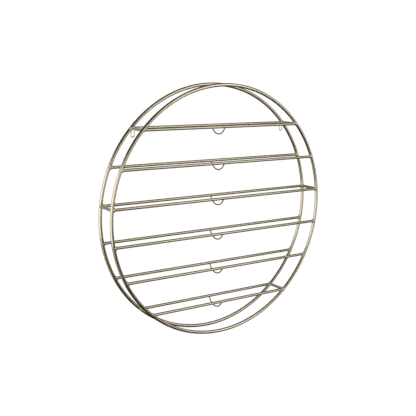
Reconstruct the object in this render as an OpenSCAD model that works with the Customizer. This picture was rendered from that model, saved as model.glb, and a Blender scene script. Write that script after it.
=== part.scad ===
// Round wall-mounted wine rack.
// Two tube rings stand one behind the other and carry shelves of two parallel tube bars.
// A bottle lies along the two bars of a shelf, over a wire cradle at its middle.
// Frame: X to the right along the shelves, Y towards the wall, Z up.
// The wall is the plane Y = 0. The rack bears on its two wall screws at Z = 0, and X = 0 is midway between them.

/* [Rings] */
// Outer diameter of each ring
ring_od = 800; // [760:5:840]
// Diameter of the tube that the rings are bent from
ring_tube_d = 10.6; // [9:0.1:14]
// Depth of the whole rack, from the wall to the front of the front ring
rack_depth = 83; // [76:1:95]
// Wall thickness of every tube
tube_wall = 1; // [0.8:0.1:1.5]

/* [Shelves] */
// Diameter of the shelf bars and crossbars
bar_d = 9; // [7:0.5:9]
// Height of the top shelf's bars above the centre of the rings
top_shelf_rise = 266.5; // [260:0.5:272]
// Height from one shelf to the next
shelf_pitch = 112.8; // [95:0.1:116]

/* [Cradles] */
// Diameter of the cradle wire
cradle_wire_d = 4; // [2.5:0.5:5]
// Drop from the middle of the bars to the middle of the wire at the cradle's lowest point
cradle_drop = 25; // [18:0.5:30]

/* [Hangers] */
// Diameter of the hanger wire
hanger_wire_d = 3; // [2:0.5:4]
// Width of a hanger loop between the middles of its two legs
hanger_loop_w = 11.5; // [11:0.5:14]
// Drop from the middle of the top bar to the middle of the wire at the loop's lowest point
hanger_loop_drop = 26.5; // [24:0.5:34]
// Distance from the centre of a hanger loop out to the middle of the ring's tube
hanger_inset = 6.5; // [5:0.5:7]

/* [Welds] */
// Reach of a tube weld's fillet along both of the tubes that it joins
tube_weld_reach = 1.5; // [1:0.1:2]
// Reach of a wire weld's fillet along the wire and the tube
wire_weld_reach = 1; // [0.6:0.1:1.5]
// Width of the gap that a ring's seam weld fills
seam_gap = 2; // [1:0.5:4]

/* [Hidden] */
$fn = 96;
ring_fn = 240;

// Shelves are numbered from the top, and these ones have a crossbar at each end.
shelves = [1:6];
braced_shelves = [1, 3, 6];
sides = [-1, 1];

ring_r = (ring_od - ring_tube_d) / 2;
rear_y = -ring_tube_d / 2;
front_y = -rack_depth + ring_tube_d / 2;
mid_y = (rear_y + front_y) / 2;

// The wall screws bear against the underside of the top rear bar.
top_shelf_z = bar_d / 2;
ring_z = top_shelf_z - top_shelf_rise;

// The arc of a cradle runs from the middle of one bar to the middle of the other.
half_gap = (rear_y - front_y) / 2;
cradle_bend_r = (half_gap * half_gap + cradle_drop * cradle_drop) / (2 * cradle_drop);
cradle_half_angle = asin(half_gap / cradle_bend_r);

// The straight part of a hanger loop's legs starts at this height.
hanger_bend_z = top_shelf_z - hanger_loop_drop + hanger_loop_w / 2;

seam_angle = seam_gap / ring_r * 180 / PI;
// A weld ends this far short of the middle of the tube that it runs round.
weld_stop = 1;
// The ring welds are ground back to this far inside the outer faces of the ring.
weld_face_inset = 1.25;
// Length of bar and angle of ring that reach past any weld.
weld_zone = 30;
weld_zone_angle = 5;

champagne = [0.70, 0.65, 0.53];
weld_tint = [0.60, 0.55, 0.43];

function shelf_z(shelf) = top_shelf_z - (shelf - 1) * shelf_pitch;
// Half the chord of a ring at a shelf, between the middles of its tube.
function half_chord(shelf) = sqrt(ring_r * ring_r - pow(shelf_z(shelf) - ring_z, 2));
// Angle round the ring, from the +X side upwards, at one end of a shelf.
function end_angle(shelf, side) = atan2(shelf_z(shelf) - ring_z, side * half_chord(shelf));
function is_braced(shelf) = len(search(shelf, braced_shelves)) > 0;

// ---- Rings ----

// Part of a ring at depth y, from an angle and through a sweep, with its children as the section.
module ring_sweep(y, from, sweep) {
    translate([0, y, ring_z])
        rotate([90, 0, 0])
            rotate([0, 0, from])
                rotate_extrude(angle = sweep, $fn = ring_fn)
                    translate([ring_r, 0]) children();
}

// The solid outline of a ring's tube around one end of a shelf, grown by a margin.
module ring_outline(shelf, side, y, margin = 0) {
    ring_sweep(y, end_angle(shelf, side) - weld_zone_angle, 2 * weld_zone_angle)
        circle(d = ring_tube_d + 2 * margin);
}

module tube_section() {
    difference() {
        circle(d = ring_tube_d);
        circle(d = ring_tube_d - 2 * tube_wall);
    }
}

// One ring: a tube bent round until its two ends almost meet at the bottom.
module ring(y) {
    color(champagne)
        ring_sweep(y, -90 + seam_angle / 2, 360 - seam_angle) tube_section();
}

// The butt welds that close the two rings, ground flush with the tube.
module ring_seam_welds() {
    color(weld_tint)
        for (y = [rear_y, front_y])
            ring_sweep(y, -90 - seam_angle / 2, seam_angle) tube_section();
}

// ---- Shelf bars and crossbars ----

// A cylinder along X that reaches from the middle of one side of a ring to the other, less an end allowance.
module bar_outline(shelf, y, d, short = 0) {
    length = 2 * (half_chord(shelf) - short);
    translate([-length / 2, y, shelf_z(shelf)])
        rotate([0, 90, 0]) cylinder(h = length, d = d);
}

// A shelf's rear or front bar, with its ends coped to fit against the inside of the ring.
module shelf_bar(shelf, y) {
    color(champagne)
        difference() {
            bar_outline(shelf, y, bar_d);
            bar_outline(shelf, y, bar_d - 2 * tube_wall, -1);
            for (side = sides) ring_outline(shelf, side, y);
        }
}

// A cylinder along Y that reaches from the middle of one ring to the middle of the other.
module crossbar_outline(shelf, side, d, short = 0) {
    translate([side * half_chord(shelf), rear_y - short, shelf_z(shelf)])
        rotate([90, 0, 0]) cylinder(h = rear_y - front_y - 2 * short, d = d);
}

// A crossbar at one end of a shelf, coped to fit against both rings and both shelf bars.
module crossbar(shelf, side) {
    color(champagne)
        difference() {
            crossbar_outline(shelf, side, bar_d);
            crossbar_outline(shelf, side, bar_d - 2 * tube_wall, -1);
            for (y = [rear_y, front_y]) {
                ring_outline(shelf, side, y);
                bar_outline(shelf, y, bar_d);
            }
        }
}

// ---- Cradles ----

// The wire's arc at the middle of a shelf, hanging between the two bars.
module cradle_outline(shelf, margin = 0) {
    translate([0, mid_y, shelf_z(shelf) - cradle_drop + cradle_bend_r])
        rotate([0, 90, 0])
            rotate([0, 0, -cradle_half_angle])
                rotate_extrude(angle = 2 * cradle_half_angle, $fn = ring_fn)
                    translate([cradle_bend_r, 0]) circle(d = cradle_wire_d + 2 * margin);
}

// A cradle, with its ends coped to fit against the undersides of the two bars.
module cradle(shelf) {
    color(champagne)
        difference() {
            cradle_outline(shelf);
            for (y = [rear_y, front_y]) bar_outline(shelf, y, bar_d);
        }
}

// ---- Hanger loops ----

// Middle of the hanger loop on one side of the rack.
function hanger_x(side) = side * (half_chord(1) - hanger_inset);

// One leg of a hanger loop, up to the middle of the top shelf's rear bar.
module hanger_leg(side, leg_side, margin = 0) {
    translate([hanger_x(side) + leg_side * hanger_loop_w / 2, rear_y, hanger_bend_z])
        cylinder(h = top_shelf_z - hanger_bend_z, d = hanger_wire_d + 2 * margin);
}

// A loop of wire round a wall screw, with its inner leg under the top bar and its outer leg under the ring.
module hanger_loop(side) {
    color(champagne)
        difference() {
            union() {
                for (leg_side = sides) hanger_leg(side, leg_side);
                translate([hanger_x(side), rear_y, hanger_bend_z])
                    rotate([90, 0, 0])
                        rotate([0, 0, 180])
                            rotate_extrude(angle = 180)
                                translate([hanger_loop_w / 2, 0]) circle(d = hanger_wire_d);
            }
            bar_outline(1, rear_y, bar_d);
            ring_outline(1, side, rear_y);
        }
}

// ---- Welds ----

// A slab round a ring, as deep as the ring's tube less the inset of its ground welds.
module weld_slab(y) {
    depth = ring_tube_d - 2 * weld_face_inset;
    translate([-ring_od / 2, y - depth / 2, ring_z - ring_od / 2]) cube([ring_od, depth, ring_od]);
}

// The welds between one ring and the ends of its six shelf bars.
module ring_welds(y) {
    color(weld_tint)
        for (shelf = shelves, side = sides)
            difference() {
                intersection() {
                    bar_outline(shelf, y, bar_d + 2 * tube_weld_reach, weld_stop);
                    ring_outline(shelf, side, y, tube_weld_reach);
                    weld_slab(y);
                }
                bar_outline(shelf, y, bar_d);
                ring_outline(shelf, side, y);
                if (is_braced(shelf)) crossbar_outline(shelf, side, bar_d);
            }
}

// The welds between the crossbars and the rings, which stop at the shelf bars' own welds.
module crossbar_welds() {
    color(weld_tint)
        for (shelf = braced_shelves, side = sides, y = [rear_y, front_y])
            difference() {
                intersection() {
                    crossbar_outline(shelf, side, bar_d + 2 * tube_weld_reach, weld_stop);
                    ring_outline(shelf, side, y, tube_weld_reach);
                }
                crossbar_outline(shelf, side, bar_d);
                ring_outline(shelf, side, y);
                bar_outline(shelf, y, bar_d + 2 * tube_weld_reach, weld_stop);
            }
}

// The welds between the cradles' wires and the shelf bars.
module cradle_welds() {
    color(weld_tint)
        for (shelf = shelves, y = [rear_y, front_y])
            difference() {
                intersection() {
                    cradle_outline(shelf, wire_weld_reach);
                    translate([-weld_zone / 2, y, shelf_z(shelf)])
                        rotate([0, 90, 0]) cylinder(h = weld_zone, d = bar_d + 2 * wire_weld_reach);
                }
                cradle_outline(shelf);
                translate([-weld_zone, y, shelf_z(shelf)])
                    rotate([0, 90, 0]) cylinder(h = 2 * weld_zone, d = bar_d);
            }
}

// The welds between the hanger loops' inner legs and the bar, and between their outer legs and the ring.
module hanger_welds() {
    color(weld_tint)
        for (side = sides) {
            difference() {
                intersection() {
                    hanger_leg(side, -side, wire_weld_reach);
                    bar_outline(1, rear_y, bar_d + 2 * wire_weld_reach);
                }
                hanger_leg(side, -side);
                bar_outline(1, rear_y, bar_d);
            }
            difference() {
                intersection() {
                    hanger_leg(side, side, wire_weld_reach);
                    ring_outline(1, side, rear_y, wire_weld_reach);
                }
                hanger_leg(side, side);
                ring_outline(1, side, rear_y);
                bar_outline(1, rear_y, bar_d + 2 * tube_weld_reach);
                crossbar_outline(1, side, bar_d + 2 * tube_weld_reach);
            }
        }
}

// ---- Nodes ----

ring(rear_y);  // rear_ring
ring(front_y);  // front_ring
ring_seam_welds();

for (shelf = shelves) {
    shelf_bar(shelf, rear_y);
    shelf_bar(shelf, front_y);
    cradle(shelf);
}

for (shelf = braced_shelves) {
    crossbar(shelf, -1);
    crossbar(shelf, 1);
}

hanger_loop(-1);  // left_hanger_loop
hanger_loop(1);  // right_hanger_loop

ring_welds(rear_y);  // rear_ring_welds
ring_welds(front_y);  // front_ring_welds
crossbar_welds();
cradle_welds();
hanger_welds();
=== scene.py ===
"""The visual model of the round wall wine rack, built around its CAD frame.

The bars, crossbars, cradles and hanger loops are the CAD nodes, with a brushed champagne metal on them.
The two rings are finer meshes of the same size. Every weld is a bead of its own, swept round the line
where its two tubes meet.
"""

from math import acos, atan2, cos, pi, radians, sin, sqrt
from random import Random

import bmesh
import bpy
from mathutils import Matrix, Vector


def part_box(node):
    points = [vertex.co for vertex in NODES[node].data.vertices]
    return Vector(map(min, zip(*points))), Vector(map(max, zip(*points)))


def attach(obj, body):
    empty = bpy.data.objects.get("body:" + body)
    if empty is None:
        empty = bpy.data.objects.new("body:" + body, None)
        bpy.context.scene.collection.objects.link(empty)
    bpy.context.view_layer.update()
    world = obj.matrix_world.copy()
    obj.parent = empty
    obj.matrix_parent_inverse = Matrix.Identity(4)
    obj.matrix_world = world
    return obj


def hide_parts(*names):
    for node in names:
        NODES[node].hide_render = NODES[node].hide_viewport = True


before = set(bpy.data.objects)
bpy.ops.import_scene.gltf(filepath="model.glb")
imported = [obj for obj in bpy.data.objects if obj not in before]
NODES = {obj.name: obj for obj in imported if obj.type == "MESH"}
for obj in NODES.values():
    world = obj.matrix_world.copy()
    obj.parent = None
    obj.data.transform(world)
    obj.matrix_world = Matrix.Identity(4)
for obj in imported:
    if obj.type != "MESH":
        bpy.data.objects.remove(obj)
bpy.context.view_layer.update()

MM = 0.001

# ---- Sizes and places, all from the frame ----


def middle(node):
    """Middle of a CAD node's box."""
    low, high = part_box(node)
    return (low + high) / 2


def extent(node):
    """Size of a CAD node's box."""
    low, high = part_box(node)
    return high - low


SHELVES = range(1, 7)
BRACED_SHELVES = [1, 3, 6]
SIDES = {"left": -1, "right": 1}

RING_TUBE_R = extent("rear_ring").y / 2
RING_R = extent("rear_ring").x / 2 - RING_TUBE_R
RING_Z = middle("rear_ring").z
REAR_Y = middle("rear_ring").y
FRONT_Y = middle("front_ring").y
MID_Y = (REAR_Y + FRONT_Y) / 2
RACK_CENTRE = Vector((0, MID_Y, RING_Z))

BAR_R = extent("shelf_1_rear_bar").z / 2
SHELF_Z = {shelf: middle(f"shelf_{shelf}_rear_bar").z for shelf in SHELVES}
HALF_CHORD = {shelf: sqrt(RING_R**2 - (SHELF_Z[shelf] - RING_Z) ** 2) for shelf in SHELVES}

CRADLE_WIRE_R = extent("cradle_1").x / 2
CRADLE_DROP = SHELF_Z[1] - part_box("cradle_1")[0].z - CRADLE_WIRE_R
HALF_GAP = (REAR_Y - FRONT_Y) / 2
CRADLE_BEND_R = (HALF_GAP**2 + CRADLE_DROP**2) / (2 * CRADLE_DROP)

HANGER_WIRE_R = extent("left_hanger_loop").y / 2
HANGER_LEG_GAP = extent("left_hanger_loop").x - 2 * HANGER_WIRE_R

# ---- Camera ----

CAMERA_AZIMUTH = radians(34.684)
CAMERA_ELEVATION = radians(10.842)
CAMERA_ROLL = radians(0.85)
CAMERA_DISTANCE = 2.3495
CAMERA_AIM = RACK_CENTRE + Vector((-0.0345, 0, 0.0078))
SENSOR_WIDTH = 36.0
LENS = 64.06


def add_camera():
    """The camera stands to the left of the rack, a little above it, and looks down at it."""
    forward = Vector((
        sin(CAMERA_AZIMUTH) * cos(CAMERA_ELEVATION),
        cos(CAMERA_AZIMUTH) * cos(CAMERA_ELEVATION),
        -sin(CAMERA_ELEVATION),
    ))
    level_right = forward.cross(Vector((0, 0, 1))).normalized()
    level_up = level_right.cross(forward)
    right = level_right * cos(CAMERA_ROLL) + level_up * sin(CAMERA_ROLL)
    up = level_up * cos(CAMERA_ROLL) - level_right * sin(CAMERA_ROLL)
    axes = Matrix((right, up, -forward)).transposed()
    data = bpy.data.cameras.new("camera")
    data.sensor_width = SENSOR_WIDTH
    data.lens = LENS
    camera = bpy.data.objects.new("camera", data)
    camera.matrix_world = Matrix.Translation(CAMERA_AIM - forward * CAMERA_DISTANCE) @ axes.to_4x4()
    bpy.context.scene.collection.objects.link(camera)
    bpy.context.scene.camera = camera


add_camera()

# ---- Material nodes ----


class Nodes:
    """Adds and links the nodes of one new metal."""

    def __init__(self, name):
        self.material = bpy.data.materials.new(name)
        self.material.use_nodes = True
        self.tree = self.material.node_tree
        self.place = self.add("ShaderNodeTexCoord").outputs["Object"]

    def metal(self, colour, roughness, normal):
        """Sets the shader, and gives the finished metal."""
        shader = self.tree.nodes["Principled BSDF"]
        self.tree.links.new(colour, shader.inputs["Base Color"])
        self.tree.links.new(roughness, shader.inputs["Roughness"])
        self.tree.links.new(normal, shader.inputs["Normal"])
        shader.inputs["Metallic"].default_value = 1
        return self.material

    def add(self, kind, inputs=(), **settings):
        """A new node. inputs maps a socket's name or number to a value, or to another node's socket."""
        node = self.tree.nodes.new(kind)
        for name, value in settings.items():
            setattr(node, name, value)
        for key, value in dict(inputs).items():
            if isinstance(value, bpy.types.NodeSocket):
                self.tree.links.new(value, node.inputs[key])
            else:
                node.inputs[key].default_value = value
        return node

    def math(self, operation, a, b=0.0):
        return self.add("ShaderNodeMath", {0: a, 1: b}, operation=operation).outputs[0]

    def vector(self, x, y, z):
        return self.add("ShaderNodeCombineXYZ", {0: x, 1: y, 2: z}).outputs[0]

    def scaled(self, x, y, z, along, across):
        """A place stretched by along in its first direction, and by across in the other two."""
        return self.vector(
            self.math("MULTIPLY", x, along),
            self.math("MULTIPLY", y, across),
            self.math("MULTIPLY", z, across),
        )

    def noise(self, vector, scale, detail=2.0, roughness=0.5):
        inputs = {"Vector": vector, "Scale": scale, "Detail": detail, "Roughness": roughness}
        return self.add("ShaderNodeTexNoise", inputs).outputs[0]

    def smooth(self, value, low, high, to_low=0.0, to_high=1.0):
        """value from low to high becomes to_low to to_high, with a soft start and end."""
        inputs = {0: value, 1: low, 2: high, 3: to_low, 4: to_high}
        return self.add("ShaderNodeMapRange", inputs, interpolation_type="SMOOTHSTEP").outputs[0]

    def blend(self, factor, a, b):
        """Colour a where factor is 0, and colour b where it is 1."""
        node = self.add("ShaderNodeMix", {0: factor, 6: a, 7: b}, data_type="RGBA")
        return node.outputs[2]

    def bump(self, height, depth, strength, normal=None):
        """A normal tilted by a height map. It starts from another normal if one is given."""
        inputs = {"Strength": strength, "Distance": depth, "Height": height}
        if normal:
            inputs["Normal"] = normal
        return self.add("ShaderNodeBump", inputs).outputs[0]


# Champagne plating: its usual tone, its cooler and warmer drifts, where it is rubbed bright,
# and a painted crevice shade that darkens it where a bead meets its tube.
PLATE = (0.70, 0.655, 0.53, 1)
PLATE_COOL = (0.72, 0.68, 0.56, 1)
PLATE_WARM = (0.66, 0.60, 0.46, 1)
PLATE_RUBBED = (0.77, 0.73, 0.63, 1)
PLATE_PAINTED_CREVICE_SHADE = (0.36, 0.29, 0.18, 1)

# The weld beads are a little brighter than the tubes: partly a paler plating over the welds, and partly a
# painted highlight that stands in for the light their rounded faces catch.
WELD_HIGHLIGHT_BRIGHT = (0.93, 0.90, 0.82, 1)
WELD_HIGHLIGHT_PALE = (0.82, 0.78, 0.68, 1)

# Scales are in cycles a metre.
DRIFT_SCALE = 11.0
BRUSH_ALONG = 18.0
BRUSH_ACROSS = 2600.0
PEEL_SCALE = 620.0
SCRATCH_ALONG = 60.0
SCRATCH_ACROSS = 5200.0
WEAR_SCALE = 45.0
WELD_DRIFT_SCALE = 160.0
WELD_GRIT_SCALE = 2400.0

BRUSH_DEPTH = 0.005 * MM
PEEL_DEPTH = 0.012 * MM
BUMP_STRENGTH = 0.6
WELD_BUMP_STRENGTH = 0.5

# How far each detail moves the roughness.
DRIFT_ROUGHNESS = 0.02
SCRATCH_ROUGHNESS = 0.08
WEAR_ROUGHNESS = 0.07

# Bottles rub the bars bright. The wear is full up to the first distance from a shelf's middle, and gone
# by the second. It starts where the normal's height is the third value, and is full from the fourth.
WEAR_FULL_X = 0.09
WEAR_END_X = 0.24
WEAR_START_UP = 0.75
WEAR_FULL_UP = 0.98
WEAR_BLEND = 0.7

# Painted crevice shade at a bead's toe: it starts this far towards the edge, and darkens by this much at
# the edge.
TOE_SHADE_START = 0.7
TOE_SHADE_BLEND = 0.4


def shade(colour, tone):
    """A colour made darker or lighter by tone."""
    return tuple(channel * tone for channel in colour[:3]) + (1,)


def along_x(nodes, x, y, z):
    """Grain of a tube that runs along X."""
    return x, y, z


def along_y(nodes, x, y, z):
    """Grain of a tube that runs along Y."""
    return y, x, z


def along_z(nodes, x, y, z):
    """Grain of a wire that runs mostly along Z."""
    return z, x, y


def round_ring(nodes, x, y, z):
    """Grain of a tube bent round the rack's axis."""
    height = nodes.math("SUBTRACT", z, RING_Z)
    turn = nodes.math("MULTIPLY", nodes.math("ARCTAN2", height, x), RING_R)
    x_squared = nodes.math("MULTIPLY", x, x)
    height_squared = nodes.math("MULTIPLY", height, height)
    radius = nodes.math("SQRT", nodes.math("ADD", x_squared, height_squared))
    return turn, radius, y


def bottle_wear(nodes, x):
    """1 where bottles rub a bar bright, and 0 where they don't reach, with patches in between."""
    normal = nodes.add("ShaderNodeNewGeometry").outputs["Normal"]
    up = nodes.add("ShaderNodeSeparateXYZ", {0: normal}).outputs[2]
    on_top = nodes.smooth(up, WEAR_START_UP, WEAR_FULL_UP)
    near_middle = nodes.smooth(nodes.math("ABSOLUTE", x), WEAR_FULL_X, WEAR_END_X, 1.0, 0.0)
    patchy = nodes.smooth(nodes.noise(nodes.place, WEAR_SCALE, detail=4.0), 0.4, 0.62)
    return nodes.math("MULTIPLY", nodes.math("MULTIPLY", on_top, near_middle), patchy)


def champagne_metal(name, grain, smoothest, roughest, tone=1.0, rubbed=False):
    """Brushed and plated metal, whose brush lines run along the tube. tone darkens the plating."""
    nodes = Nodes(name)
    x, y, z = nodes.add("ShaderNodeSeparateXYZ", {0: nodes.place}).outputs
    tube_place = grain(nodes, x, y, z)

    drift = nodes.noise(nodes.place, DRIFT_SCALE, detail=3.0)
    peel = nodes.noise(nodes.place, PEEL_SCALE, detail=1.0)
    brush_place = nodes.scaled(*tube_place, BRUSH_ALONG, BRUSH_ACROSS)
    brush = nodes.noise(brush_place, 1.0, detail=3.0, roughness=0.6)
    scratch_place = nodes.scaled(*tube_place, SCRATCH_ALONG, SCRATCH_ACROSS)
    scratches = nodes.smooth(nodes.noise(scratch_place, 1.0, detail=1.0), 0.66, 0.74)

    warm, cool, usual = (shade(plate, tone) for plate in (PLATE_WARM, PLATE_COOL, PLATE))
    colour = nodes.blend(nodes.smooth(drift, 0.3, 0.7), warm, cool)
    colour = nodes.blend(nodes.smooth(brush, 0.35, 0.65, 0.35, 0.75), colour, usual)
    roughness = nodes.smooth(brush, 0.3, 0.7, smoothest, roughest)
    drift_roughness = nodes.smooth(drift, 0.35, 0.65, -DRIFT_ROUGHNESS, DRIFT_ROUGHNESS)
    roughness = nodes.math("ADD", roughness, drift_roughness)
    roughness = nodes.math("ADD", roughness, nodes.math("MULTIPLY", scratches, SCRATCH_ROUGHNESS))

    if rubbed:
        wear = bottle_wear(nodes, x)
        colour = nodes.blend(nodes.math("MULTIPLY", wear, WEAR_BLEND), colour, PLATE_RUBBED)
        roughness = nodes.math("SUBTRACT", roughness, nodes.math("MULTIPLY", wear, WEAR_ROUGHNESS))

    brushed = nodes.bump(brush, BRUSH_DEPTH, BUMP_STRENGTH)
    peeled = nodes.bump(peel, PEEL_DEPTH, BUMP_STRENGTH, brushed)
    return nodes.metal(colour, roughness, peeled)


def weld_metal(name):
    """The plating over a weld: brighter and rougher, with a fine grit, and darker at the bead's toes. The
    brightness is partly paler plating and partly painted highlight, and the darker toes are painted
    crevice shade.
    """
    nodes = Nodes(name)
    toe = nodes.add("ShaderNodeAttribute", attribute_name="toe").outputs["Fac"]
    drift = nodes.noise(nodes.place, WELD_DRIFT_SCALE, detail=2.0)
    grit = nodes.noise(nodes.place, WELD_GRIT_SCALE, detail=2.0)
    # Paler weld plating, brightened further as a painted highlight.
    colour = nodes.blend(nodes.smooth(drift, 0.3, 0.7), WELD_HIGHLIGHT_PALE, WELD_HIGHLIGHT_BRIGHT)
    # Painted crevice shade: the bead darkens towards its toes, where it meets the tube.
    colour = nodes.blend(nodes.smooth(toe, TOE_SHADE_START, 1.0, 0.0, TOE_SHADE_BLEND), colour, PLATE_PAINTED_CREVICE_SHADE)
    roughness = nodes.smooth(grit, 0.3, 0.7, 0.24, 0.36)
    return nodes.metal(colour, roughness, nodes.bump(grit, PEEL_DEPTH, WELD_BUMP_STRENGTH))


# ---- Metal on the CAD nodes ----


def paint(material, *names):
    """Puts one metal on CAD nodes."""
    for name in names:
        slots = NODES[name].data.materials
        slots.clear()
        slots.append(material)


paint(
    champagne_metal("champagne_bar", along_x, smoothest=0.22, roughest=0.32, tone=0.9, rubbed=True),
    *[f"shelf_{shelf}_{place}_bar" for shelf in SHELVES for place in ("rear", "front")],
)
paint(
    champagne_metal("champagne_crossbar", along_y, smoothest=0.22, roughest=0.32),
    *[f"shelf_{shelf}_{side}_crossbar" for shelf in BRACED_SHELVES for side in SIDES],
)
# The cradle wires get the same plating at 0.6 of its tone: painted shade for the thin wires that hang
# under the bars.
paint(
    champagne_metal("champagne_cradle_painted_shade", along_y, smoothest=0.18, roughest=0.28, tone=0.6),
    *[f"cradle_{shelf}" for shelf in SHELVES],
)
paint(
    champagne_metal("champagne_hanger", along_z, smoothest=0.18, roughest=0.28),
    *[f"{side}_hanger_loop" for side in SIDES],
)

# ---- Rings ----

RING_STEPS = 720
RING_SIDES = 40


def add_piece(name, points, faces, material, replaced):
    """A smooth mesh that rides on the rack and stands for a CAD node."""
    mesh = bpy.data.meshes.new(name)
    mesh.from_pydata(points, [], faces)
    shell = bmesh.new()
    shell.from_mesh(mesh)
    bmesh.ops.recalc_face_normals(shell, faces=shell.faces)
    shell.to_mesh(mesh)
    shell.free()
    mesh.materials.append(material)
    mesh.shade_smooth()
    piece = bpy.data.objects.new(name, mesh)
    bpy.context.scene.collection.objects.link(piece)
    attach(piece, "root")
    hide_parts(replaced)
    return piece


def skin(rows, columns, first, closed):
    """Faces between rows of points that each go round. closed joins the last row to the first one."""
    faces = []
    for row in range(rows if closed else rows - 1):
        ahead = (row + 1) % rows
        for column in range(columns):
            beside = (column + 1) % columns
            corners = (row, column), (row, beside), (ahead, beside), (ahead, column)
            faces.append([first + r * columns + c for r, c in corners])
    return faces


def ring_point(y, turn, angle, tube_r):
    """A point on a tube bent round the rack's axis. turn goes round the rack, and angle round the tube."""
    out = RING_R + tube_r * cos(angle)
    return Vector((out * cos(turn), y + tube_r * sin(angle), RING_Z + out * sin(turn)))


def add_ring(name, y, material, replaced):
    """A whole ring, in sections fine enough to look round from close by."""
    points = [
        ring_point(y, 2 * pi * step / RING_STEPS, 2 * pi * side / RING_SIDES, RING_TUBE_R)
        for step in range(RING_STEPS)
        for side in range(RING_SIDES)
    ]
    faces = skin(RING_STEPS, RING_SIDES, 0, closed=True)
    add_piece(name, points, faces, material, replaced)


ring_metal = champagne_metal("champagne_ring", round_ring, smoothest=0.14, roughest=0.22)
add_ring("rear_ring_tube", REAR_Y, ring_metal, "rear_ring")
add_ring("front_ring_tube", FRONT_Y, ring_metal, "front_ring")

# ---- Weld beads ----

BEAD_STEPS = 96
BEAD_FACE_STEPS = 6
BEAD_SINK = 0.06 * MM
BEAD_ROOT = 0.4 * MM

# How unevenly a bead goes round: in one swell, in three, and in the notches between its ripples.
SWELL_ONCE = 0.12
SWELL_THRICE = 0.07
NOTCH_REACH = 0.12
NOTCH_SPREAD = 0.10
NOTCH_CROWN = 0.35


class Surface:
    """A tube that a bead lies on: where its axis comes nearest to a point, and its radius."""

    def __init__(self, nearest, radius):
        self.nearest = nearest
        self.radius = radius

    def normal(self, point):
        return (point - self.nearest(point)).normalized()

    def on(self, point, sink=0.0):
        """The point moved square onto the surface, or below it by sink."""
        axis_point = self.nearest(point)
        return axis_point + (point - axis_point).normalized() * (self.radius - sink)


def ring_surface(y):
    """The tube of the ring at y."""

    def nearest(point):
        out = Vector((point.x, 0, point.z - RING_Z)).normalized() * RING_R
        return Vector((out.x, y, out.z + RING_Z))

    return Surface(nearest, RING_TUBE_R)


def bar_surface(shelf, y):
    """The tube of a shelf's bar at y."""
    return Surface(lambda point: Vector((point.x, y, SHELF_Z[shelf])), BAR_R)


class Bead:
    """How big one kind of bead is: along the thinner tube, over the thicker one, and how far it bulges."""

    def __init__(self, reach, spread, crown, ripples):
        self.reach = reach
        self.spread = spread
        self.crown = crown
        self.ripples = ripples


TUBE_BEAD = Bead(reach=3.4 * MM, spread=3.0 * MM, crown=1.1 * MM, ripples=16)
CROSSBAR_BEAD = Bead(reach=2.6 * MM, spread=2.2 * MM, crown=0.8 * MM, ripples=15)
CRADLE_BEAD = Bead(reach=1.1 * MM, spread=1.1 * MM, crown=0.30 * MM, ripples=5)
HANGER_BEAD = Bead(reach=0.9 * MM, spread=0.9 * MM, crown=0.25 * MM, ripples=4)


def bead_rows(joint, base, bead, random, limit=None):
    """Rows of points round a joint, one row a step. joint(angle) gives the point where the two tubes meet,
    the way along the thinner tube, and the way out from its axis. base is the thicker tube's surface.
    The last point of a row is inside the tubes."""
    phases = [random.uniform(0, 2 * pi) for _ in range(3)]
    rows = []
    for step in range(BEAD_STEPS):
        angle = 2 * pi * step / BEAD_STEPS
        point, along, out = joint(angle)
        normal = base.normal(point)
        sideways = (out - normal * out.dot(normal)).normalized()
        notch = 1 - abs(sin(bead.ripples * angle / 2 + phases[0]))
        swell = 1 + SWELL_ONCE * sin(angle + phases[1]) + SWELL_THRICE * sin(3 * angle + phases[2])
        reach = bead.reach * swell * (1 - NOTCH_REACH * notch)
        spread = bead.spread * swell * (1 - NOTCH_SPREAD * notch)
        crown = bead.crown * (1 - NOTCH_CROWN * notch)
        start = point + along * reach - out * BEAD_SINK
        end = base.on(point + sideways * spread, BEAD_SINK)
        lift = (along + sideways).normalized()
        row = []
        for face_step in range(BEAD_FACE_STEPS + 1):
            t = face_step / BEAD_FACE_STEPS
            place = start.lerp(end, t) + lift * crown * sin(pi * t)
            if limit:
                place = limit(place)
            row.append(place)
        row.append(point - lift * BEAD_ROOT)
        rows.append(row)
    return rows


def add_bead_piece(name, points, faces, toes, material, replaced):
    """A piece of weld metal. toes holds the toe attribute of each point."""
    piece = add_piece(name, points, faces, material, replaced)
    piece.data.attributes.new("toe", "FLOAT", "POINT").data.foreach_set("value", toes)


def weld_object(name, rows_of_beads, material, replaced):
    """One mesh of closed beads. Its toe attribute is 1 at a bead's two edges and 0 along its crown, and
    sets where the weld metal paints crevice shade.
    """
    points = []
    faces = []
    toes = []
    for rows in rows_of_beads:
        width = len(rows[0])
        faces += skin(len(rows), width, len(points), closed=True)
        for row in rows:
            points += row
            toes += [abs(2 * i / (width - 2) - 1) for i in range(width - 1)] + [1.0]
    add_bead_piece(name, points, faces, toes, material, replaced)


def bar_joint(shelf, side, y):
    """The line where a shelf bar's end meets the inside of its ring."""

    def joint(angle):
        out = Vector((0, cos(angle), sin(angle)))
        height = SHELF_Z[shelf] + BAR_R * out.z - RING_Z
        radius = RING_R - sqrt(RING_TUBE_R**2 - (BAR_R * out.y) ** 2)
        x = side * sqrt(radius**2 - height**2)
        return Vector((x, y + BAR_R * out.y, height + RING_Z)), Vector((-side, 0, 0)), out

    return joint


def crossbar_joint(shelf, side, y, inward):
    """The line where a crossbar's end meets a ring. inward is the way along Y to the other ring."""

    def joint(angle):
        out = Vector((cos(angle), 0, sin(angle)))
        x = side * HALF_CHORD[shelf] + BAR_R * out.x
        height = SHELF_Z[shelf] + BAR_R * out.z - RING_Z
        off_centre = sqrt(x**2 + height**2) - RING_R
        depth = sqrt(RING_TUBE_R**2 - off_centre**2)
        return Vector((x, y + inward * depth, height + RING_Z)), Vector((0, inward, 0)), out

    return joint


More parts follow.
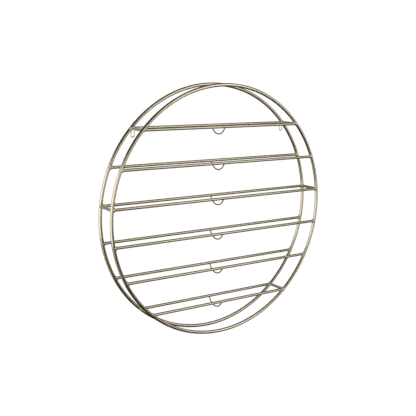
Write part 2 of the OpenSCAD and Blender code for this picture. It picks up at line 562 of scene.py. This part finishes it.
def cradle_joint(shelf, y, inward):
    """The line where a cradle's wire meets the underside of a bar."""
    centre_z = SHELF_Z[shelf] - CRADLE_DROP + CRADLE_BEND_R
    to_bar_y = y - MID_Y
    to_bar_z = SHELF_Z[shelf] - centre_z
    bar_distance = sqrt(to_bar_y**2 + to_bar_z**2)
    bar_turn = atan2(to_bar_y, -to_bar_z)

    def joint(angle):
        radius = CRADLE_BEND_R + CRADLE_WIRE_R * cos(angle)
        cosine = (radius**2 + bar_distance**2 - BAR_R**2) / (2 * radius * bar_distance)
        turn = bar_turn + inward * acos(cosine)
        outward = Vector((0, sin(turn), -cos(turn)))
        point = Vector((CRADLE_WIRE_R * sin(angle), MID_Y, centre_z)) + outward * radius
        along = Vector((0, cos(turn), sin(turn))) * inward
        return point, along, outward * cos(angle) + Vector((sin(angle), 0, 0))

    return joint


def hanger_joint(side, leg, top):
    """The line where a leg of a hanger loop meets what is above it, whose underside is at top(x, dy)."""
    name = "right_hanger_loop" if side > 0 else "left_hanger_loop"
    leg_x = middle(name).x + leg * HANGER_LEG_GAP / 2

    def joint(angle):
        out = Vector((cos(angle), sin(angle), 0))
        x = leg_x + HANGER_WIRE_R * out.x
        dy = HANGER_WIRE_R * out.y
        return Vector((x, REAR_Y + dy, top(x, dy))), Vector((0, 0, -1)), out

    return joint


def under_bar(x, dy):
    """Height of the top rear bar's underside, dy away from the plane of its axis."""
    return SHELF_Z[1] - sqrt(BAR_R**2 - dy**2)


def under_ring(x, dy):
    """Height of the inside of the rear ring's upper half at x, dy away from the ring's plane."""
    radius = RING_R - sqrt(RING_TUBE_R**2 - dy**2)
    return RING_Z + sqrt(radius**2 - x**2)


# How far in front of and behind its ring's middle a bead may reach.
WALL_SIDE_LIMIT = RING_TUBE_R - 0.1 * MM
ROOM_SIDE_LIMIT = RING_TUBE_R + 0.8 * MM


def ground_face(y):
    """Keeps a bead inside its ring on the side that faces the wall, and nearly so on the room's side."""

    def limit(point):
        offset = max(-ROOM_SIDE_LIMIT, min(WALL_SIDE_LIMIT, point.y - y))
        return Vector((point.x, y + offset, point.z))

    return limit


weld = weld_metal("champagne_weld")
random = Random(7)

for place, y in {"rear": REAR_Y, "front": FRONT_Y}.items():
    rows = [
        bead_rows(bar_joint(shelf, side, y), ring_surface(y), TUBE_BEAD, random, ground_face(y))
        for shelf in SHELVES
        for side in SIDES.values()
    ]
    weld_object(f"{place}_ring_weld_beads", rows, weld, f"{place}_ring_welds")

weld_object(
    "crossbar_weld_beads",
    [
        bead_rows(crossbar_joint(shelf, side, y, inward), ring_surface(y), CROSSBAR_BEAD, random)
        for shelf in BRACED_SHELVES
        for side in SIDES.values()
        for y, inward in ((REAR_Y, -1), (FRONT_Y, 1))
    ],
    weld,
    "crossbar_welds",
)
weld_object(
    "cradle_weld_beads",
    [
        bead_rows(cradle_joint(shelf, y, inward), bar_surface(shelf, y), CRADLE_BEAD, random)
        for shelf in SHELVES
        for y, inward in ((REAR_Y, -1), (FRONT_Y, 1))
    ],
    weld,
    "cradle_welds",
)
weld_object(
    "hanger_weld_beads",
    [
        bead_rows(hanger_joint(side, leg, top), surface, HANGER_BEAD, random)
        for side in SIDES.values()
        for leg, top, surface in (
            (-side, under_bar, bar_surface(1, REAR_Y)),
            (side, under_ring, ring_surface(REAR_Y)),
        )
    ],
    weld,
    "hanger_welds",
)

# ---- Ring seams ----

SEAM_HALF_LENGTH = 1.7 * MM
SEAM_CROWN = 0.12 * MM
SEAM_ROWS = 12
SEAM_STEPS = 48
SEAM_UNEVEN = 0.25
SEAM_RIPPLES = 5
SEAM_SLANT = 9
SEAM_TOE_POWER = 4


def seam_rows(y):
    """Rows of points round a ring's butt weld, from one of its ends to the other."""
    rows = []
    for row in range(SEAM_ROWS + 1):
        t = 2 * row / SEAM_ROWS - 1
        turn = -pi / 2 + t * SEAM_HALF_LENGTH / RING_R
        at_end = row in (0, SEAM_ROWS)
        lift = -BEAD_ROOT if at_end else SEAM_CROWN * (1 - t * t)
        points = []
        for step in range(SEAM_STEPS):
            angle = 2 * pi * step / SEAM_STEPS
            uneven = 1 + SEAM_UNEVEN * sin(SEAM_RIPPLES * angle + SEAM_SLANT * t)
            radius = RING_TUBE_R + lift * (1 if at_end else uneven)
            points.append(ring_point(y, turn, angle, radius))
        rows.append(points)
    return rows


def seam_object(name, material, replaced):
    """One mesh of both rings' butt welds. Each is closed at its two ends, which are inside the tube."""
    points = []
    faces = []
    toes = []
    for y in (REAR_Y, FRONT_Y):
        first = len(points)
        last = first + SEAM_ROWS * SEAM_STEPS
        faces += skin(SEAM_ROWS + 1, SEAM_STEPS, first, closed=False)
        faces.append([first + step for step in range(SEAM_STEPS)][::-1])
        faces.append([last + step for step in range(SEAM_STEPS)])
        for number, row in enumerate(seam_rows(y)):
            points += row
            # The toe attribute rises towards the seam's two ends, where the weld metal paints crevice
            # shade.
            toes += [abs(2 * number / SEAM_ROWS - 1) ** SEAM_TOE_POWER] * SEAM_STEPS
    add_bead_piece(name, points, faces, toes, material, replaced)


seam_object("ring_seam_beads", weld, "ring_seam_welds")

# ---- Studio ----

FLOOR_DROP = 2.9
FLOOR_SIZE = 60.0
FLOOR_GREY = (0.8, 0.8, 0.8, 1)
ROOM = (0.06, 0.048, 0.029, 1)
WHITE = (1, 1, 1, 1)
BACKDROP_STRENGTH = 1.03


def add_world():
    """The camera sees white all round. The metal sees a dim warm room, lit by the softboxes."""
    world = bpy.data.worlds.new("studio")
    world.use_nodes = True
    tree = world.node_tree
    backdrop = tree.nodes["Background"]
    backdrop.inputs["Color"].default_value = WHITE
    backdrop.inputs["Strength"].default_value = BACKDROP_STRENGTH
    room = tree.nodes.new("ShaderNodeBackground")
    room.inputs["Color"].default_value = ROOM
    seen = tree.nodes.new("ShaderNodeLightPath")
    mix = tree.nodes.new("ShaderNodeMixShader")
    tree.links.new(seen.outputs["Is Camera Ray"], mix.inputs[0])
    tree.links.new(room.outputs[0], mix.inputs[1])
    tree.links.new(backdrop.outputs[0], mix.inputs[2])
    tree.links.new(mix.outputs[0], tree.nodes["World Output"].inputs[0])
    bpy.context.scene.world = world
    bpy.context.scene.view_settings.view_transform = "Standard"


def add_softbox(name, azimuth, elevation, distance, width, height, strength, colour=(1, 1, 1)):
    """A softbox that faces the rack. Azimuth 0 degrees is straight in front of it, and 90 is on its right.
    strength is how bright its face looks."""
    turn, rise = radians(azimuth), radians(elevation)
    outward = Vector((sin(turn) * cos(rise), -cos(turn) * cos(rise), sin(rise)))
    data = bpy.data.lights.new(name, "AREA")
    data.shape = "RECTANGLE"
    data.size = width
    data.size_y = height
    data.energy = strength * pi * width * height
    data.color = colour
    light = bpy.data.objects.new(name, data)
    light.location = RACK_CENTRE + outward * distance
    light.rotation_euler = outward.to_track_quat("Z", "Y").to_euler()
    light.visible_camera = False
    bpy.context.scene.collection.objects.link(light)


def add_floor():
    """A plain pale floor far below the rack, lit evenly enough to melt into the backdrop."""
    material = bpy.data.materials.new("pale_floor")
    material.use_nodes = True
    shader = material.node_tree.nodes["Principled BSDF"]
    shader.inputs["Base Color"].default_value = FLOOR_GREY
    shader.inputs["Roughness"].default_value = 0.9
    shader.inputs["Emission Color"].default_value = WHITE
    shader.inputs["Emission Strength"].default_value = 1
    half = FLOOR_SIZE / 2
    corners = [(-half, -half, 0), (half, -half, 0), (half, half, 0), (-half, half, 0)]
    mesh = bpy.data.meshes.new("floor")
    mesh.from_pydata(corners, [], [(0, 1, 2, 3)])
    mesh.materials.append(material)
    floor = bpy.data.objects.new("floor", mesh)
    floor.location = RACK_CENTRE - Vector((0, 0, FLOOR_DROP))
    floor.visible_glossy = False
    bpy.context.scene.collection.objects.link(floor)


WARM = (1.0, 0.92, 0.72)

add_world()
add_floor()
add_softbox(
    "left_softbox",
    azimuth=-68, elevation=0, distance=2.6,
    width=2.9, height=2.4, strength=1.45,
)
add_softbox(
    "left_wing",
    azimuth=-110, elevation=6, distance=2.6,
    width=1.5, height=2.8, strength=0.85,
)
add_softbox(
    "right_softbox",
    azimuth=32, elevation=8, distance=2.6,
    width=1.1, height=1.8, strength=1.5,
)
add_softbox(
    "right_wing",
    azimuth=58, elevation=10, distance=2.8,
    width=1.3, height=1.8, strength=0.5,
)
add_softbox(
    "right_rim",
    azimuth=112, elevation=6, distance=2.6,
    width=1.4, height=2.2, strength=0.4,
)
add_softbox(
    "front_fill",
    azimuth=-6, elevation=2, distance=3.2,
    width=2.8, height=1.9, strength=0.6, colour=WARM,
)
add_softbox(
    "top_fill",
    azimuth=28, elevation=42, distance=2.8,
    width=2.4, height=1.1, strength=0.95, colour=WARM,
)
add_softbox(
    "low_left_fill",
    azimuth=-92, elevation=-38, distance=2.4,
    width=2.0, height=1.1, strength=0.6, colour=WARM,
)
add_softbox(
    "wall_bounce",
    azimuth=-146, elevation=0, distance=2.4,
    width=1.5, height=1.6, strength=0.4, colour=WARM,
)
add_softbox(
    "back_softbox",
    azimuth=178, elevation=12, distance=2.8,
    width=1.7, height=2.6, strength=0.9,
)
